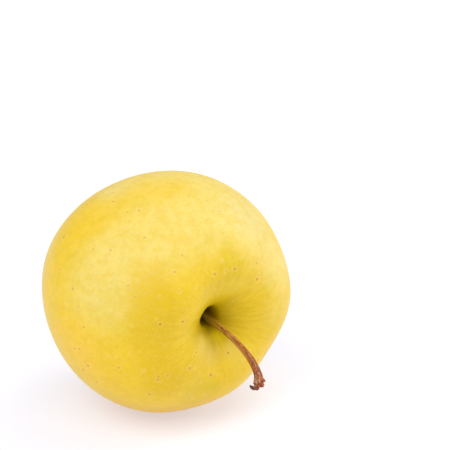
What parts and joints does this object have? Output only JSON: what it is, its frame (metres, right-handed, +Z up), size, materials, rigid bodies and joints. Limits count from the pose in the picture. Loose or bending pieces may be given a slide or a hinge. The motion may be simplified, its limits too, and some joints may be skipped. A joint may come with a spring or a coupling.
{
  "type": "whole apple",
  "caption": "Whole yellow apple lying on its side, with a curved woody stem out of a deep stem cavity and a dried calyx in the basin at its other end.",
  "frame": {"origin": "on the floor, in the small flat spot that the apple rests on, right under the centre of its girth", "axes": "+Z up, -Y the way the stem end faces, +X across the apple"},
  "size_m": [0.0763, 0.0839, 0.0728],
  "materials": {
    "skin": "waxy yellow apple skin, softly glossy, greener in the stem cavity, with small brown pores",
    "stem_wood": "matt reddish brown woody stem, olive near the cavity, torn at its tip",
    "dried_calyx": "matt dark brown dried sepals"
  },
  "bodies": {
    "root": {"fruit": "skin", "stem": "stem_wood", "calyx": "dried_calyx"}
  },
  "joints": []
}
